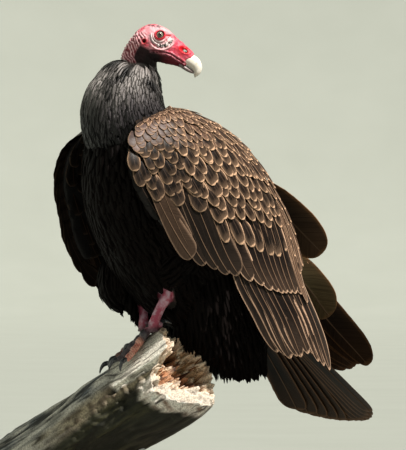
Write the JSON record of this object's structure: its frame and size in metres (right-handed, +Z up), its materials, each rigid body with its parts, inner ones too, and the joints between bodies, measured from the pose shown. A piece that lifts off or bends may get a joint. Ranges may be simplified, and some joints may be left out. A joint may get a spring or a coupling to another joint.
{
  "type": "turkey vulture, still life-size model on a cut limb with a display stand",
  "caption": "Life-size vulture standing at the broken end of a dead limb, wings folded and head turned back, held by rods on a flat base.",
  "frame": {"origin": "centre of the underside of the stand's base", "axes": "+Z up; the bird's body faces -Y and its left side is +X; its head is turned back over the left shoulder"},
  "size_m": [0.4748, 0.5833, 0.7714],
  "materials": {
    "plumage": "black-brown feathers with pale brown edges on the wings",
    "skin": "bare wrinkled red skin",
    "ivory": "smooth ivory horn",
    "iris": "wet dark eye",
    "leg": "scaly bare skin, pink on the shank and slate on the toes",
    "claw": "dark horn",
    "wood": "weathered cracked bark, rotten at the broken end",
    "board": "dark satin board",
    "steel": "brushed rod"
  },
  "bodies": {
    "root": {"head": "skin", "eye_left": "iris", "eye_right": "iris", "bill_upper": "ivory", "bill_lower": "ivory", "neck": "plumage", "trunk": "plumage", "tail": "plumage", "wing_left": "plumage", "wing_left_flight": "plumage", "wing_right": "plumage", "wing_right_flight": "plumage", "thigh_left": "plumage", "thigh_right": "plumage", "shank_left": "leg", "shank_right": "leg", "foot_left": "leg", "foot_right": "leg", "claw_left_1": "claw", "claw_left_2": "claw", "claw_left_3": "claw", "claw_left_4": "claw", "claw_right_1": "claw", "claw_right_2": "claw", "claw_right_3": "claw", "claw_right_4": "claw", "perch_limb": "wood", "stand_base": "board", "stand_rod_high": "steel", "stand_rod_low": "steel"}
  },
  "joints": []
}
